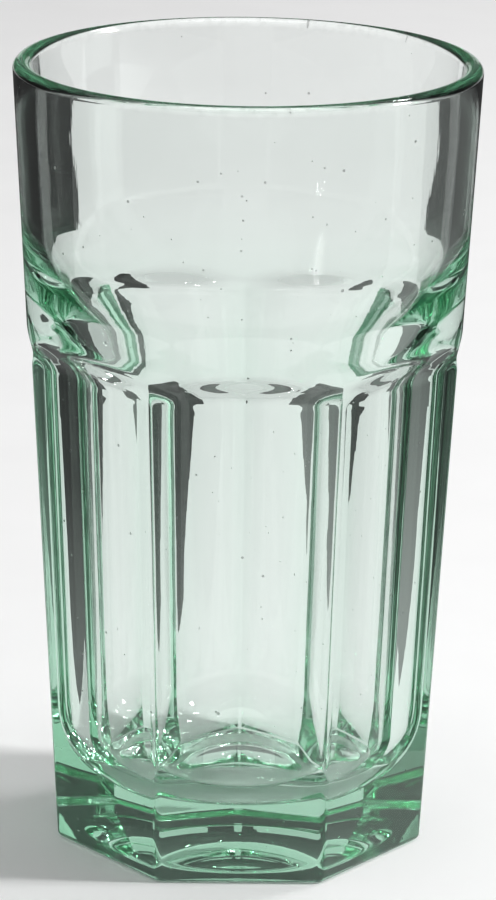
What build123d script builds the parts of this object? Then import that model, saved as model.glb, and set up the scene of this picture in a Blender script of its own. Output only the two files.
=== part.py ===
from build123d import *
from math import atan2, cos, degrees, pi
import os

# A tall tumbler of pressed glass, all one piece: a round tapered wall with flat panels pressed into
# its lower part, a round hollow, a rounded lip and a thick foot with a shallow dish under it.
# Millimetres, +Z up. The origin is on the table, under the middle of the foot. One panel faces -Y.

# Driving dimensions
height = 140.0
rim_radius = 40.7  # outside of the tapered wall, carried up to the top of the lip
foot_radius = 33.05  # outside of the tapered wall, carried down to the table
panel_count = 7
rib_land = 0.9  # width of the round strip left between two panels, at the shoulder
shoulder_height = 87.6  # where the ribs end and the panels begin to run out
run_out_radius = 4.8  # hollow curve that leads each panel out to the round band
lip_wall = 3.2  # level thickness of the round band at the lip
band_wall = 3.5  # level thickness of the round band, where the hollow begins to narrow
floor_wall = 4.2  # level thickness behind the middle of a panel, at the hollow's floor
knee_wall = 5.2  # level thickness behind a panel's plane, carried up to the knee
knee_lift = 2.0  # from the shoulder up to the knee, above which the hollow widens fast
knee_round = 25.0
band_lift = 17.0  # from the shoulder up to where the hollow turns to follow the round band
band_round = 40.0
floor_thickness = 12.0
floor_corner = 10.0  # rounding between the hollow's floor and its side
lip_round = 1.55
foot_round = 1.2
dish_radius = 20.5  # edge of the shallow dish under the foot
dish_depth = 2.8

# Working values
cutter_margin = 5.0  # how far a panel's cutter stands out beyond the glass
most_round = 0.49  # largest share of a wall's thickness that one rounded corner may take


def wall_radius(z):
    """Outside of the round tapered wall at height z."""
    return foot_radius + (rim_radius - foot_radius) * z / height


land_angle = rib_land / (2 * wall_radius(shoulder_height))
panel_share = cos(pi / panel_count - land_angle)


def panel_distance(z):
    """Level distance from the axis to the flat of a panel at height z."""
    return panel_share * wall_radius(z)


def tapered_cup():
    """The round glass before its panels, turned from half of its wall section."""
    knee_height = shoulder_height + knee_lift
    band_height = shoulder_height + band_lift
    lip = min(lip_round, most_round * lip_wall)
    corners_and_rounds = [
        ((0, 0), 0),
        ((0, floor_thickness), 0),
        ((panel_distance(floor_thickness) - floor_wall, floor_thickness), floor_corner),
        ((panel_distance(knee_height) - knee_wall, knee_height), knee_round),
        ((wall_radius(band_height) - band_wall, band_height), band_round),
        ((rim_radius - lip_wall, height), lip),
        ((rim_radius, height), lip),
        ((foot_radius, 0), 0),
    ]
    corners = [corner for corner, _ in corners_and_rounds]
    rounds = [corner_round for _, corner_round in corners_and_rounds]
    with BuildPart() as cup:
        with BuildSketch(Plane.XZ):
            with BuildLine():
                FilletPolyline(corners, radius=rounds, close=True)
            make_face()
        revolve(axis=Axis.Z)
    return cup.part


def panel_cutter():
    """What is pressed away for one panel: outside its flat, and under its hollow run-out."""
    low = (panel_distance(-cutter_margin), -cutter_margin)
    shoulder = (panel_distance(shoulder_height), shoulder_height)
    rise = (shoulder[0] - low[0], shoulder[1] - low[1])
    turn = degrees(atan2(rise[1], rise[0]))
    outside = max(rim_radius, shoulder[0] + run_out_radius) + cutter_margin
    with BuildPart() as cutter:
        with BuildSketch(Plane.XZ):
            with BuildLine():
                flat = Line(low, shoulder)
                run_out = JernArc(flat @ 1, flat % 1, run_out_radius, -turn)
                top = (outside, (run_out @ 1).Y)
                Polyline(run_out @ 1, top, (outside, -cutter_margin), low)
            make_face()
        extrude(amount=rim_radius, both=True)
    return cutter.part


def dish_cutter():
    """A ball that leaves a dish of the given radius and depth in the table side of the foot."""
    ball_radius = (dish_radius**2 + dish_depth**2) / (2 * dish_depth)
    return Pos(0, 0, dish_depth - ball_radius) * Sphere(ball_radius)


def tumbler():
    """The whole glass: panels pressed in, edge of the foot rounded, dish cut under it."""
    panel = Rot(0, 0, -90) * panel_cutter()
    panels = [Rot(0, 0, 360 / panel_count * place) * panel for place in range(panel_count)]
    glass = tapered_cup() - panels
    foot_edges = glass.edges().group_by(Axis.Z)[0]
    return fillet(foot_edges, foot_round) - dish_cutter()


os.makedirs("parts", exist_ok=True)
export_step(tumbler(), "parts/tumbler.step")
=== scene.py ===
# %% [markdown]
# A tall tumbler of pressed glass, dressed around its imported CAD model. The CAD model is the fixed
# frame: it says how high and how wide the glass is, and everything below is in the same metres. An
# empty scene would do too, but around the frame the dressed glass and the solid stay in step. The box
# of the CAD model is kept straight away, so that the finished glass can be set against it.

# %% Load the frame
from math import cos, exp, pi, radians, sin, sqrt, tan

import bpy
import numpy as np
from mathutils import Matrix, Vector


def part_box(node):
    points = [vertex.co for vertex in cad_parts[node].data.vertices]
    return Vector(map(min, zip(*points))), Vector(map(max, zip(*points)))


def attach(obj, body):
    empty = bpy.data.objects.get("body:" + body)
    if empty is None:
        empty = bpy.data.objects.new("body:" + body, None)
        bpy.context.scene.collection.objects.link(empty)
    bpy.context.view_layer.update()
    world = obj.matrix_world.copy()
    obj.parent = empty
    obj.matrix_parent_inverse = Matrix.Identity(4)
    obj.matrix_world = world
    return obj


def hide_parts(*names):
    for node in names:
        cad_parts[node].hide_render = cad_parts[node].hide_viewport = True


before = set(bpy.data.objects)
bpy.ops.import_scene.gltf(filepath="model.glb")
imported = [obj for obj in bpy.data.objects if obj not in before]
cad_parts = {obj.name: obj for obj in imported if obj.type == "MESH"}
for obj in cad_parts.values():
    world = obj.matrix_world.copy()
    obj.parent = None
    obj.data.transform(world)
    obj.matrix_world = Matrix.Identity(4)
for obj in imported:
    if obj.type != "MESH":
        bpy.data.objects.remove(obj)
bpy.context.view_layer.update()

# %% [markdown]
# The camera comes first, because glass is only what it shows of its surroundings from one place. It
# could be aimed with a tracking constraint, but a place, three turns and a lens leave nothing open.
# The picture is tall, so Blender measures the sensor along its height, and a focal length found in
# pixels is then a share of the picture's height. The camera stands a little off the middle of the
# near panel, looks down on the glass and leans by less than a degree.

# %% Camera
picture_height_px = 900
focal_length_px = 4778
sensor_mm = 36
camera_distance = 0.810
camera_height = 0.302
camera_round_turn = radians(-0.53)
camera_aim_turn = radians(-0.59)
camera_pitch = radians(15.98)
camera_lean = radians(0.78)

camera_data = bpy.data.cameras.new("photo_camera")
camera_data.sensor_width = sensor_mm
camera_data.lens = focal_length_px / picture_height_px * sensor_mm
camera = bpy.data.objects.new("photo_camera", camera_data)
bpy.context.scene.collection.objects.link(camera)
bpy.context.scene.camera = camera
standpoint = Matrix.Rotation(camera_round_turn, 4, "Z") @ Vector((0, -camera_distance, camera_height))
camera.matrix_world = (
    Matrix.Translation(standpoint)
    @ Matrix.Rotation(camera_aim_turn, 4, "Z")
    @ Matrix.Rotation(pi / 2 - camera_pitch, 4, "X")
    @ Matrix.Rotation(camera_lean, 4, "Z")
)
print("lens in mm:", round(camera_data.lens, 1))

# %% [markdown]
# These are the sizes of the glass, in metres. The height comes from the frame. The rest are the sizes
# that the mould gave it: a round wall that tapers, seven flat panels pressed into it under a
# shoulder, and a thick floor. Inside, the plunger left a hollow of three plain cones: a narrow one
# behind the panels, a short steep one at the shoulder, and a wide one in the band. The walls matter
# more than they seem to. How far a streak behind the glass is bent aside depends on them, so they
# were set by where the dark streaks fall.

# %% Sizes of the tumbler
tumbler_low, tumbler_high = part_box("tumbler")
height = tumbler_high.z
rim_radius = 0.0407  # outside of the round wall, carried up to the top of the lip
foot_radius = 0.03305  # the same wall, carried down to where the foot stands
panel_count = 7
rib_land = 0.0009  # round strip that is left between two panels
shoulder_height = 0.0902  # where the ledge at the top of a panel begins
ledge_rise = 0.65  # how much the ledge rises for each step outwards
lip_wall = 0.0032
band_wall = 0.0035
band_height = 0.1046  # where the hollow turns to follow the band
knee_wall = 0.0052  # behind the plane of a panel, carried up to the knee
knee_height = 0.0896  # where the hollow turns outwards, just under the ledge
floor_wall = 0.0042
floor_thickness = 0.012
dish_radius = 0.0205  # shallow dish under the foot
dish_depth = 0.0028
foot_round = 0.0012
lip_round = 0.00155
floor_corner = 0.010
knee_round = 0.025
band_round = 0.040
print("lip across in mm:", round(1000 * (tumbler_high.x - tumbler_low.x), 2))

# %% [markdown]
# Outside, the round wall and a flat panel are two simple surfaces. The wall is a cone from the foot to
# the lip. A panel is a plane with the same taper, pressed in until only a narrow rib of the cone is
# left between two panels. Boolean cuts could press the panels in, but their edges would be knife
# sharp. A formula for each surface lets the next step round the edges as well.

# %% Round wall and flat panels
def wall_radius(z):
    """Outside of the round tapered wall at a height."""
    return foot_radius + (rim_radius - foot_radius) * z / height


land_angle = rib_land / (2 * wall_radius(shoulder_height))
panel_share = cos(pi / panel_count - land_angle)


def panel_distance(z):
    """Level distance from the axis to the flat of a panel at a height."""
    return panel_share * wall_radius(z)


print("panel depth at the shoulder in mm:",
      round(1000 * (wall_radius(shoulder_height) - panel_distance(shoulder_height)), 2))

# %% [markdown]
# The glass ends at whichever of the two surfaces is nearer to the axis. Taking the plain minimum would
# give the knife edges again. A smooth minimum rounds the place where the two are about equal, as fire
# polishing does. A Bevel modifier rounds edges too, but this also works where a panel runs out into
# the round band and no edge is left. The foot of the ledge at the top of a panel is a hollow corner,
# so there a smooth maximum does the same. The rounding is narrow along the ribs and wide at the arch.

# %% Soft edges of the outside
rib_softness = 0.00022
arch_softness = 0.0026
arch_lead = 0.003  # height over which the edge of a rib softens into the arch
ledge_softness = 0.0040


def smooth_minimum(a, b, softness):
    """The smaller of two numbers, with a soft passage where they are about equal."""
    overlap = np.maximum(softness - np.abs(a - b), 0) / softness
    return np.minimum(a, b) - overlap**2 * softness / 4


def smooth_maximum(a, b, softness):
    """The larger of two numbers, with the same soft passage."""
    return -smooth_minimum(-a, -b, softness)


def outside_radius(angle, z):
    """Outside of the glass, for angles from the middle of the near panel."""
    panel_turn = 2 * pi / panel_count
    from_middle = (angle + panel_turn / 2) % panel_turn - panel_turn / 2
    ledge = panel_distance(shoulder_height) + (z - shoulder_height) / ledge_rise
    panel = smooth_maximum(panel_distance(z), ledge, ledge_softness) / np.cos(from_middle)
    blend = np.clip((z - shoulder_height + arch_lead) / arch_lead, 0, 1)
    blend = blend**2 * (3 - 2 * blend)
    softness = rib_softness + (arch_softness - rib_softness) * blend
    return smooth_minimum(wall_radius(z), panel, softness)


print("from the axis to a panel and to a rib at half height in mm:",
      [round(1000 * float(outside_radius(angle, height / 2)), 2) for angle in (0, pi / panel_count)])

# %% [markdown]
# The half section of the glass is a line with rounded corners. It could be drawn as a curve by hand,
# but written as corners with a rounding each it stays tied to the sizes above. One helper turns every
# rounding into an arc of short steps, and another divides the long straight stretches.

# %% Helpers for a rounded line
arc_steps = 18


def rounded(corners):
    """Points along a line whose corners (r, z, rounding) are replaced by arcs."""
    points = [Vector(corners[0][:2])]
    for before, here, after in zip(corners, corners[1:], corners[2:]):
        corner, rounding = Vector(here[:2]), here[2]
        to_before = (Vector(before[:2]) - corner).normalized()
        to_after = (Vector(after[:2]) - corner).normalized()
        half = to_before.angle(to_after) / 2
        centre = corner + (to_before + to_after).normalized() * rounding / sin(half)
        first = (corner + to_before * rounding / tan(half) - centre).normalized()
        final = (corner + to_after * rounding / tan(half) - centre).normalized()
        for step in range(arc_steps + 1):
            points.append(centre + rounding * first.slerp(final, step / arc_steps))
    points.append(Vector(corners[-1][:2]))
    return points


def divided(points, longest):
    """The same line with no stretch longer than a given length."""
    line = [points[0]]
    for a, b in zip(points, points[1:]):
        parts = max(1, int((b - a).length / longest) + 1)
        line += [a.lerp(b, part / parts) for part in range(1, parts + 1)]
    return line


print("helpers for lines:", rounded.__name__, divided.__name__)

# %% [markdown]
# The line starts in the middle of the floor, goes up the inside, over the lip, down the outside and
# under the foot. It is kept as two halves that meet on top of the lip, because the inside is round at
# every height, while the outside still gets its panels.

# %% Half section of the glass
longest_step = 0.008
lip_middle = rim_radius - lip_wall / 2
inside_corners = [
    (0, floor_thickness, 0),
    (panel_distance(floor_thickness) - floor_wall, floor_thickness, floor_corner),
    (panel_distance(knee_height) - knee_wall, knee_height, knee_round),
    (wall_radius(band_height) - band_wall, band_height, band_round),
    (rim_radius - lip_wall, height, lip_round),
    (lip_middle, height, 0),
]
outside_corners = [
    (lip_middle, height, 0),
    (rim_radius, height, lip_round),
    (foot_radius, 0, foot_round),
    (foot_radius - 2 * foot_round, 0, 0),
]
inside_line = divided(rounded(inside_corners), longest_step)
outside_line = divided(rounded(outside_corners), longest_step)
print("inside rings:", len(inside_line), "outside rings:", len(outside_line))

# %% [markdown]
# The ledge at the top of the panels needs short steps, or its arched edge turns into stairs. Dividing
# the whole line so finely would make a heavy mesh, so the outside is divided again only there.

# %% Finer steps at the shoulder
fine_step = 0.00035
fine_below = 0.005
fine_above = 0.012
fine_line = [outside_line[0]]
for a, b in zip(outside_line, outside_line[1:]):
    over_shoulder = (a.y + b.y) / 2 - shoulder_height
    near_arch = -fine_below < over_shoulder < fine_above
    fine_line += divided([a, b], fine_step)[1:] if near_arch else [b]
print("outside rings with the fine steps:", len(fine_line))

# %% [markdown]
# Each point of the half section becomes a ring. A Screw modifier could turn the line round the axis,
# but the outside isn't round, so the rings are written point by point. Every ring has the same number
# of points, packed closer near the ribs, where the outside turns sharply.

# %% Points round the glass
columns_per_panel = 66
rib_crowding = 0.85  # 0 spaces the points evenly, 1 packs them tightest at the ribs
share = np.arange(columns_per_panel) / columns_per_panel * 2 - 1
half_panel = pi / panel_count
within_panel = half_panel * (share + rib_crowding * np.sin(pi * share) / pi)
angles = np.concatenate([within_panel + 2 * half_panel * n for n in range(panel_count)])
columns = len(angles)


def ring(radius, z):
    """One ring of points; angle 0 faces -Y, the way the near panel faces."""
    radius = np.broadcast_to(radius, angles.shape)
    return np.stack([radius * np.sin(angles), -radius * np.cos(angles), np.full(columns, z)], axis=1)


print("points in a ring:", columns)

# %% [markdown]
# The inside rings are plain circles. An outside ring takes its shape from the wall and the panels at
# its height, drawn in by whatever the lip or the foot has rounded away.

# %% Rings of the wall
rings = [ring(point.x, point.y) for point in inside_line[1:]]
for point in fine_line[1:]:
    drawn_in = wall_radius(point.y) - point.x
    rings.append(ring(outside_radius(angles, point.y) - drawn_in, point.y))
print("rings of the wall:", len(rings))

# %% [markdown]
# Under the foot there is a flat ring to stand on and a shallow dish, which keeps the middle clear of
# the ground. The rings pass from the seven-sided edge of the foot to the round edge of the dish, and
# the dish is the cap of a large ball. Seen through the glass, its edge draws arcs inside the foot.

# %% Rings under the foot
foot_rings = 6
dish_rings = 12
foot_edge = outside_radius(angles, 0.0) - 2 * foot_round
for step in range(1, foot_rings + 1):
    rings.append(ring(foot_edge + (dish_radius - foot_edge) * step / foot_rings, 0.0))
ball_radius = (dish_radius**2 + dish_depth**2) / (2 * dish_depth)
for step in range(1, dish_rings):
    r = dish_radius * (1 - step / dish_rings)
    rings.append(ring(r, dish_depth - ball_radius + sqrt(ball_radius**2 - r**2)))
print("all rings:", len(rings), "radius of the ball in mm:", round(1000 * ball_radius, 1))

# %% [markdown]
# Neighbouring rings are joined by four-sided faces, and the first and last ring are closed with a
# fan round a middle point. The faces are wound so that their normals point out of the glass, which
# tells the renderer on which side the glass is.

# %% Faces between the rings
points = np.concatenate(rings + [np.array([(0, 0, floor_thickness), (0, 0, dish_depth)])])
floor_point, dish_point = len(points) - 2, len(points) - 1
around = np.arange(columns)
following = (around + 1) % columns
quads = []
for number in range(len(rings) - 1):
    a, b = number * columns, (number + 1) * columns
    quads.append(np.stack([a + around, b + around, b + following, a + following], axis=1))
faces = [tuple(face) for face in np.concatenate(quads).tolist()]
last = (len(rings) - 1) * columns
faces += [(floor_point, int(a), int(b)) for a, b in zip(around, following)]
faces += [(dish_point, int(last + b), int(last + a)) for a, b in zip(around, following)]
print("four-sided faces:", sum(len(band) for band in quads), "in the fans:", 2 * columns)

# %% [markdown]
# A pressed tumbler is one pour of glass, so it is one mesh. Smooth shading hides the borders of the
# small faces. A Subdivision modifier would do so as well, but it would pull the ribs and the lip away
# from their sizes. The mesh rides on the CAD model's only body and stands in for its only piece.

# %% Mesh of the tumbler
tumbler_mesh = bpy.data.meshes.new("tumbler_glass")
tumbler_mesh.from_pydata(points.tolist(), [], faces)
tumbler_mesh.validate()
tumbler_mesh.shade_smooth()
tumbler = bpy.data.objects.new("tumbler_glass", tumbler_mesh)
bpy.context.scene.collection.objects.link(tumbler)
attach(tumbler, "root")
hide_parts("tumbler")
print("faces:", len(tumbler_mesh.polygons))

# %% [markdown]
# The signed volume of a closed mesh is positive when its normals point out, so one number shows the
# winding and the amount of glass together. The solid of the CAD model holds 174 ml of glass.

# %% Volume of glass
import bmesh

counted = bmesh.new()
counted.from_mesh(tumbler_mesh)
print("glass volume in ml:", round(counted.calc_volume(signed=True) * 1e6, 1))
counted.free()

# %% [markdown]
# Every finish below is made of shader nodes. They could be wired by hand in the Shader Editor. Here a
# small helper adds a node and fills in its settings and its input values, so that each finish reads
# as a list of what it is mixed from. Two more make the nodes that come up most often: one stretches a
# range of numbers, and one multiplies and adds.

# %% Helpers for nodes
def add_node(tree, kind, inputs=None, **settings):
    """A new node with some settings and input values filled in."""
    node = tree.nodes.new(kind)
    for name, value in settings.items():
        setattr(node, name, value)
    for name, value in (inputs or {}).items():
        node.inputs[name].default_value = value
    return node


def map_range(tree, source, from_range, to_range):
    """A node output stretched from one range of numbers to another."""
    node = add_node(tree, "ShaderNodeMapRange", {
        "From Min": from_range[0], "From Max": from_range[1],
        "To Min": to_range[0], "To Max": to_range[1],
    })
    tree.links.new(source, node.inputs["Value"])
    return node.outputs["Result"]


def multiply_add(tree, source, factor, rest):
    """A node output times a number, plus another output or a number."""
    node = add_node(tree, "ShaderNodeMath", operation="MULTIPLY_ADD")
    tree.links.new(source, node.inputs[0])
    node.inputs[1].default_value = factor
    if isinstance(rest, (int, float)):
        node.inputs[2].default_value = rest
    else:
        tree.links.new(rest, node.inputs[2])
    return node.outputs["Value"]


print("helpers for nodes:", add_node.__name__, map_range.__name__, multiply_add.__name__)

# %% [markdown]
# The glass has a trace of iron in it, so thick parts go green and thin walls stay nearly clear. A
# tinted surface would colour both alike. Here the surface is colourless, and the colour comes from
# absorption inside: red light fades fastest with depth, then blue, then green. The amount was found
# by comparing the walls with the foot.

# %% Depth colour of the glass
refractive_index = 1.52
depth_colour = (0.07, 0.64, 0.35)
depth_density = 16  # fading per metre of a colour that isn't let through at all
sample_depth = 0.010

glass = bpy.data.materials.new("pale_green_glass")
glass.use_nodes = True
glass_tree = glass.node_tree
skin = glass_tree.nodes["Principled BSDF"]
skin.inputs["IOR"].default_value = refractive_index
skin.inputs["Transmission Weight"].default_value = 1.0
depth = add_node(glass_tree, "ShaderNodeVolumeAbsorption",
                 {"Color": (*depth_colour, 1), "Density": depth_density})
glass_tree.links.new(depth.outputs["Volume"], glass_tree.nodes["Material Output"].inputs["Volume"])
tumbler_mesh.materials.append(glass)
print("light kept in 10 mm of glass, red green blue:",
      [round(exp(-depth_density * sample_depth * (1 - colour)), 3) for colour in depth_colour])

# %% [markdown]
# A pressed skin is never quite even. The mould leaves slow waves, and the plunger draws fine upright
# lines as it is pulled out. Both are only some thousandths of a millimetre deep, too little for
# geometry, so they are noise in a bump. The noise is squeezed in z, which stretches it upright, and
# for the lines much more than for the waves.

# %% Waves and drawn lines in the skin
line_share = 0.12
skin_unevenness = 0.00002
place = add_node(glass_tree, "ShaderNodeTexCoord").outputs["Object"]


def noise(tree, source, scale, detail=2.0, squeeze_z=1.0):
    """Noise over object space, in features per metre, squeezed in z by a factor."""
    mapping = add_node(tree, "ShaderNodeMapping", {"Scale": (1, 1, squeeze_z)})
    texture = add_node(tree, "ShaderNodeTexNoise", {"Scale": scale, "Detail": detail})
    tree.links.new(source, mapping.inputs["Vector"])
    tree.links.new(mapping.outputs["Vector"], texture.inputs["Vector"])
    return texture.outputs["Fac"]


wave = noise(glass_tree, place, scale=90, detail=1.0, squeeze_z=0.3)
drawn_line = noise(glass_tree, place, scale=1400, detail=2.0, squeeze_z=0.02)
uneven = multiply_add(glass_tree, drawn_line, line_share, wave)
bump = add_node(glass_tree, "ShaderNodeBump", {"Strength": 1.0, "Distance": skin_unevenness})
glass_tree.links.new(uneven, bump.inputs["Height"])
glass_tree.links.new(bump.outputs["Normal"], skin.inputs["Normal"])
print("bump depth in mm:", 1000 * skin_unevenness)

# %% [markdown]
# Used glass carries small marks: specks of dust on the skin and tiny seeds under it. They could be
# scattered as small meshes, but a texture needs no geometry. Near the middle of each cell of a
# Voronoi texture the distance is small. A limit that differs from cell to cell leaves dots of several
# sizes there, and none at all in some cells.

# %% Specks and seeds
cells_per_metre = 260
largest_speck = 0.075  # limit on the distance, in cells
bare_share = 0.3  # cells that draw a smaller number than this have no dot
cell = add_node(glass_tree, "ShaderNodeTexVoronoi", {"Scale": cells_per_metre})
glass_tree.links.new(place, cell.inputs["Vector"])
cell_draw = add_node(glass_tree, "ShaderNodeSeparateColor")
glass_tree.links.new(cell.outputs["Color"], cell_draw.inputs["Color"])
speck_size = map_range(glass_tree, cell_draw.outputs["Red"], (bare_share, 1.0), (0.0, largest_speck))
speck = add_node(glass_tree, "ShaderNodeMath", operation="LESS_THAN")
glass_tree.links.new(cell.outputs["Distance"], speck.inputs[0])
glass_tree.links.new(speck_size, speck.inputs[1])
print("largest speck across in mm:", round(2 * 1000 * largest_speck / cells_per_metre, 2))

# %% [markdown]
# The lip is duller than the wall, because it is touched most. A second material on the lip would end
# at a hard border. A mask that rises with the height fades in instead, and noise breaks it into
# mottled dust.

# %% Dusty lip
dust_begins = 0.0022  # below the top of the lip
dust_is_full = 0.0004
spot = add_node(glass_tree, "ShaderNodeSeparateXYZ")
glass_tree.links.new(place, spot.inputs["Vector"])
near_lip = map_range(glass_tree, spot.outputs["Z"], (height - dust_begins, height - dust_is_full), (0, 1))
mottle = map_range(glass_tree, noise(glass_tree, place, scale=700), (0.48, 0.62), (0, 1))
dust = add_node(glass_tree, "ShaderNodeMath", operation="MULTIPLY")
glass_tree.links.new(near_lip, dust.inputs[0])
glass_tree.links.new(mottle, dust.inputs[1])
print("dusty strip in mm:", 1000 * dust_begins)

# %% [markdown]
# Marks show in two ways. They scatter what comes through, which is roughness, and they hold some of it
# back, which is a darker base colour. Specks and dust do both. A faint smudge here and there, where a
# hand or a cloth has been, only scatters.

# %% How marks dull the skin
speck_scatter, speck_shade = 0.45, 0.6
dust_scatter, dust_shade = 0.20, 0.15
most_smudge = 0.02
smudge = map_range(glass_tree, noise(glass_tree, place, scale=45), (0.5, 0.8), (0.0, most_smudge))
dulled = multiply_add(glass_tree, speck.outputs["Value"], speck_scatter, smudge)
dulled = multiply_add(glass_tree, dust.outputs["Value"], dust_scatter, dulled)
cleared = multiply_add(glass_tree, speck.outputs["Value"], -speck_shade, 1.0)
cleared = multiply_add(glass_tree, dust.outputs["Value"], -dust_shade, cleared)
glass_tree.links.new(dulled, skin.inputs["Roughness"])
glass_tree.links.new(cleared, skin.inputs["Base Color"])
print("nodes in the glass:", len(glass_tree.nodes))

# %% [markdown]
# The glass stands on a plain pale sheet. It could be bent up behind the glass, but from this camera
# the flat part alone fills the picture, so one large face is enough. It lies a tenth of a millimetre
# low, so that it never fights with the underside of the foot.

# %% Pale sheet
sheet_reach = 4.0
sheet_drop = 0.0001
sheet_corners = [(-1, -1), (1, -1), (1, 1), (-1, 1)]
sheet_mesh = bpy.data.meshes.new("pale_sheet")
sheet_mesh.from_pydata([(x * sheet_reach, y * sheet_reach, -sheet_drop) for x, y in sheet_corners],
                       [], [(0, 1, 2, 3)])
sheet = bpy.data.objects.new("pale_sheet", sheet_mesh)
bpy.context.scene.collection.objects.link(sheet)
print("sheet across in m:", 2 * sheet_reach)

# %% [markdown]
# Paper isn't one flat white. Its tone wanders by a percent or two, and a fine grain breaks up its
# sheen. A picture of paper could be laid on the sheet, but noise does it without a file or a seam.

# %% Paper
usual_noise = (0.3, 0.7)  # most of what a noise texture gives lies in this range
paper = bpy.data.materials.new("pale_paper")
paper.use_nodes = True
paper_tree = paper.node_tree
paper_skin = paper_tree.nodes["Principled BSDF"]
paper_place = add_node(paper_tree, "ShaderNodeTexCoord").outputs["Object"]
paper_tone = map_range(paper_tree, noise(paper_tree, paper_place, scale=30), usual_noise, (0.89, 0.91))
paper_dull = map_range(paper_tree, noise(paper_tree, paper_place, scale=400), usual_noise, (0.82, 0.95))
paper_grain = add_node(paper_tree, "ShaderNodeBump", {"Strength": 0.3, "Distance": 0.00002})
paper_tree.links.new(noise(paper_tree, paper_place, scale=2500), paper_grain.inputs["Height"])
paper_tree.links.new(paper_tone, paper_skin.inputs["Base Color"])
paper_tree.links.new(paper_dull, paper_skin.inputs["Roughness"])
paper_tree.links.new(paper_grain.outputs["Normal"], paper_skin.inputs["Normal"])
sheet_mesh.materials.append(paper)
print("nodes in the paper:", len(paper_tree.nodes))

# %% [markdown]
# Clear glass is drawn by what stands around it. Over an endless white sheet it would almost vanish,
# so photographers set dark cards just outside the picture, and their bent images give the glass its
# dark streaks. Cards that are only coloured would need light of their own, so the cards here glow a
# little with a tone of grey instead. The glow is painted light, standing in for the light that would
# fall on a card, and its tone can change with the distance from the glass.

# %% Glow of a studio card
def card_glow(name, near_tone, far_tone, near=0.2, far=0.5):
    """A steady grey glow of painted light, from one tone to another with the distance from the glass."""
    glowing = bpy.data.materials.new(name)
    glowing.use_nodes = True
    glowing.cycles.emission_sampling = "NONE"
    tree = glowing.node_tree
    tree.nodes.clear()
    surface = add_node(tree, "ShaderNodeNewGeometry")
    distance = add_node(tree, "ShaderNodeVectorMath", operation="LENGTH")
    glow = add_node(tree, "ShaderNodeEmission")
    output = add_node(tree, "ShaderNodeOutputMaterial")
    tree.links.new(surface.outputs["Position"], distance.inputs[0])
    tone = map_range(tree, distance.outputs["Value"], (near, far), (near_tone, far_tone))
    tree.links.new(tone, glow.inputs["Color"])
    tree.links.new(glow.outputs["Emission"], output.inputs["Surface"])
    return glowing


print("helper for the finish of a card:", card_glow.__name__)

# %% [markdown]
# A card is one flat face. The camera, the shadows and the soft light don't see it. Only light that has
# gone through the glass or been mirrored by it does. A card that everything saw would dim the sheet
# and show in the picture.

# %% Helpers for studio cards
def card(name, corners, glowing):
    """One flat card with the given corners, for the glass alone."""
    mesh = bpy.data.meshes.new(name)
    mesh.from_pydata(corners, [], [tuple(range(len(corners)))])
    mesh.materials.append(glowing)
    piece = bpy.data.objects.new(name, mesh)
    bpy.context.scene.collection.objects.link(piece)
    piece.visible_camera = False
    piece.visible_diffuse = False
    piece.visible_shadow = False
    return piece


def turned(corners, degrees):
    """The same corners turned round the axis of the glass."""
    spin = Matrix.Rotation(radians(degrees), 3, "Z")
    return [tuple(spin @ Vector(corner)) for corner in corners]


print("helpers for cards:", card.__name__, turned.__name__)

# %% [markdown]
# Four cards lie on the sheet, one in each quarter round the glass, and leave a white lane in front,
# behind and at each side. The lane behind the glass is the one that the camera looks along, and its
# edges are what the dark streaks show. The edges were found by following rays from the borders of
# the streaks through the glass and noting where they land. Each point is a distance to the side of
# the glass and a distance behind it, and the cards in front use the same points turned over.

# %% Edges of the white lanes
card_lift = 0.0004
card_reach = 0.850
left_edge = [(0.074, 0.045), (0.079, 0.124), (0.093, 0.158), (0.100, 0.198), (0.101, 0.250),
             (0.097, 0.286), (0.068, 0.300), (0.072, 0.330), (0.078, 0.362), (0.093, 0.441),
             (0.106, 0.500), (0.150, 0.620), (0.230, 0.850)]
right_edge = [(0.095, 0.045), (0.109, 0.145), (0.127, 0.183), (0.130, 0.250), (0.126, 0.286),
              (0.092, 0.303), (0.094, 0.325), (0.110, 0.380), (0.128, 0.444), (0.152, 0.490),
              (0.180, 0.600), (0.250, 0.850)]
side_edge = [(0.850, 0.170), (0.567, 0.110), (0.404, 0.075), (0.120, 0.045)]


def quarter(edge, side, end):
    """Corners of the card in one quarter: side is -1 left or 1 right, end is -1 front or 1 back."""
    corners = edge + [(card_reach, card_reach)] + side_edge
    return [(x * side, y * end, card_lift) for x, y in corners]


print("narrowest half of the white lane in mm:",
      1000 * min(x for x, y in left_edge), "left,", 1000 * min(x for x, y in right_edge), "right")

# %% [markdown]
# The card at the back left is the darkest, so the streaks on the left are nearly black and those on
# the right are grey. The two in front are paler, so that the glass isn't drawn too harshly when it is
# seen from behind. A fifth card lies in the front lane. It fades from nearly white to grey, because a
# lane of one tone would show its border there.

# %% Cards on the sheet
# Every card below glows with painted light instead of being lit by the lamps.
dark_glow = card_glow("dark_card", near_tone=0.12, far_tone=0.025, near=0.12, far=0.24)
grey_glow = card_glow("grey_card", near_tone=0.34, far_tone=0.11, near=0.13, far=0.40)
card("card_back_left", quarter(left_edge, -1, 1), dark_glow)
card("card_back_right", quarter(right_edge, 1, 1), grey_glow)
dim_tones = {"near_tone": 0.50, "far_tone": 0.40}
card("card_front_left", quarter(left_edge, -1, -1), card_glow("dim_card_left", **dim_tones))
card("card_front_right", quarter(right_edge, 1, -1), card_glow("dim_card_right", **dim_tones))
lane = [(-0.083, -0.160), (-0.083, -0.404), (-0.175, -0.850),
        (0.220, -0.850), (0.104, -0.408), (0.104, -0.160)]
lane_glow = card_glow("lane_card", near_tone=0.85, far_tone=0.45, near=0.16, far=0.55)
card("card_front_lane", [(x, y, card_lift) for x, y in lane], lane_glow)
print("corners of the back cards:", len(quarter(left_edge, -1, 1)), len(quarter(right_edge, 1, 1)))
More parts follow.
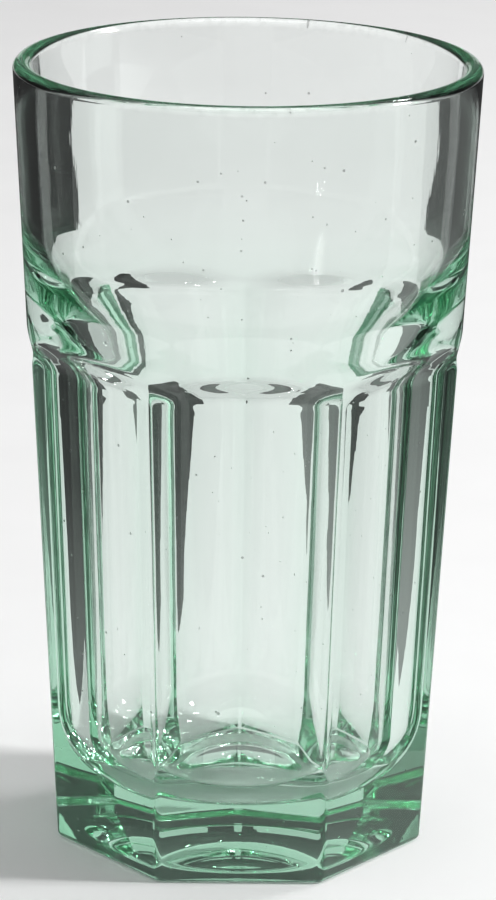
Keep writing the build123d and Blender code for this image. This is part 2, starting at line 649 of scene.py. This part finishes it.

# %% [markdown]
# The outer skin also mirrors the sheet, and a mirrored white sheet would lay a veil over the streaks.
# A second, slightly higher set of cards is seen by mirrored light alone, so their glow is a painted
# reflection that the skin shows in place of the lit sheet. Together they make a square frame round
# the glass whose tone falls off with distance, so the veil fades without a border.

# %% Cards for mirrored light
frame_inner = 0.07
frame_lift = 2 * card_lift
frame_side = [(-frame_inner, frame_inner, frame_lift), (frame_inner, frame_inner, frame_lift),
              (card_reach, card_reach, frame_lift), (-card_reach, card_reach, frame_lift)]
frame_glow = card_glow("mirrored_card", near_tone=0.40, far_tone=0.06, near=frame_inner, far=0.35)
for name, turn in (("back", 0), ("left", 90), ("front", 180), ("right", 270)):
    mirrored = card("mirrored_" + name, turned(frame_side, turn), frame_glow)
    mirrored.visible_transmission = False
print("frame for mirrored light from", frame_inner, "to", card_reach, "m")

# %% [markdown]
# Some rays leave the glass a little upwards, through the ledge of the shoulder. Low pale cards stand
# at the far end of each lane for them, and the one at the back is the palest. A backdrop that bends
# up would do the same, but single cards keep each side's tone apart.

# %% Standing cards
stand_half_width = 0.20
stand_height = 0.26
back_tone, side_tone = 0.74, 0.45
upright = [(-stand_half_width, card_reach, 0), (stand_half_width, card_reach, 0),
           (stand_half_width, card_reach, stand_height), (-stand_half_width, card_reach, stand_height)]
stands = (("back", 0, back_tone), ("left", 90, side_tone),
          ("front", 180, side_tone), ("right", 270, side_tone))
for name, turn, tone in stands:
    card("stand_" + name, turned(upright, turn), card_glow("stand_card_" + name, tone, tone))
print("standing cards:", len(stands), "each", stand_height, "m high")

# %% [markdown]
# Other rays are turned back inside the foot and leave steeply. For these a dim wall runs all the way
# round, far off, and gets a little lighter towards its top, which is painted light as from a room lit
# from above. It is made of flat cards like the rest, so one helper serves for everything that only
# the glass sees.

# %% Dim wall
wall_distance = 2.6
wall_top_distance = 3.8
wall_height = 2.9
wall_sides = 24
wall_glow = card_glow("dim_wall", near_tone=0.07, far_tone=0.20,
                          near=wall_distance, far=wall_top_distance)
half_side = wall_distance * tan(pi / wall_sides)
wall_face = [(-half_side, wall_distance, 0), (half_side, wall_distance, 0),
             (half_side, wall_distance, wall_height), (-half_side, wall_distance, wall_height)]
for number in range(wall_sides):
    card(f"wall_{number}", turned(wall_face, 360 / wall_sides * number), wall_glow)
print("dim wall faces:", wall_sides)

# %% [markdown]
# The world is even and pale. For the sheet it is a weak soft fill. Where the camera, a mirrored ray or
# a ray through the glass looks past everything else, it shows a pale background instead, without
# adding any light. One brightness for both would either flood the sheet or darken the background.

# %% World
fill_level = 0.27
background_tone = 0.86
world = bpy.data.worlds.new("studio")
bpy.context.scene.world = world
world.use_nodes = True
world_tree = world.node_tree
fill = world_tree.nodes["Background"]
fill.inputs["Color"].default_value = (fill_level, fill_level, fill_level, 1)
background = add_node(world_tree, "ShaderNodeBackground",
                      {"Color": (background_tone, background_tone, background_tone, 1)})
ray = add_node(world_tree, "ShaderNodeLightPath")
seen = ray.outputs["Is Camera Ray"]
for kind in ("Is Glossy Ray", "Is Transmission Ray"):
    either = add_node(world_tree, "ShaderNodeMath", operation="MAXIMUM")
    world_tree.links.new(seen, either.inputs[0])
    world_tree.links.new(ray.outputs[kind], either.inputs[1])
    seen = either.outputs["Value"]
choice = add_node(world_tree, "ShaderNodeMixShader")
world_tree.links.new(seen, choice.inputs["Fac"])
world_tree.links.new(fill.outputs["Background"], choice.inputs[1])
world_tree.links.new(background.outputs["Background"], choice.inputs[2])
world_tree.links.new(choice.outputs["Shader"], world_tree.nodes["World Output"].inputs["Surface"])
print("fill:", fill_level, "background:", background_tone)

# %% [markdown]
# A round lamp on the right throws the shadow to the left. Two smaller ones stand high up behind it, a
# few degrees apart, and one is weaker, so a glint on the lip or in the corner of the floor is a
# bright spot with a dimmer twin. They are too weak to cast a shadow that shows. A broad lamp overhead
# softens the whole. Area lamps were chosen over points, because glass shows the shape of a lamp.

# %% Lamps
aim = Vector((0, 0, 0.05))


def lamp(name, azimuth, elevation, distance, size, watts):
    """A round lamp aimed at the glass; azimuth 0 is the camera's side and 90 is to the right."""
    data = bpy.data.lights.new(name, "AREA")
    data.shape = "DISK"
    data.size = size
    data.energy = watts
    a, e = radians(azimuth), radians(elevation)
    away = Vector((sin(a) * cos(e), -cos(a) * cos(e), sin(e)))
    piece = bpy.data.objects.new(name, data)
    piece.location = aim + distance * away
    piece.rotation_euler = away.to_track_quat("Z", "Y").to_euler()
    bpy.context.scene.collection.objects.link(piece)


lamp("key", azimuth=86, elevation=31, distance=1.8, size=0.30, watts=27.0)
lamp("high_spark", azimuth=119, elevation=50, distance=1.8, size=0.20, watts=4.5)
lamp("high_spark_twin", azimuth=129, elevation=51, distance=1.8, size=0.20, watts=2.5)
lamp("overhead", azimuth=0, elevation=89, distance=1.6, size=1.0, watts=5.5)
print("lamps:", [light.name for light in bpy.data.lights])

# %% [markdown]
# Light that is turned back inside the thick foot bounces many times before it leaves. If the renderer
# stops too early, those places go black, so more bounces are allowed than usual. A glint that comes
# out after several turns is bright and rare, and the usual limit on indirect light would cut it down
# as noise. The limit is raised so that the corners of the floor and the foot sparkle. The Standard
# view shows each tone about as it is written above.

# %% Bounces for thick glass
deep_bounces = 32
mirror_bounces = 16
glint_limit = 60
scene = bpy.context.scene
scene.view_settings.view_transform = "Standard"
scene.cycles.max_bounces = deep_bounces
scene.cycles.transmission_bounces = deep_bounces
scene.cycles.glossy_bounces = mirror_bounces
scene.cycles.sample_clamp_indirect = glint_limit
print("bounces:", scene.cycles.max_bounces)
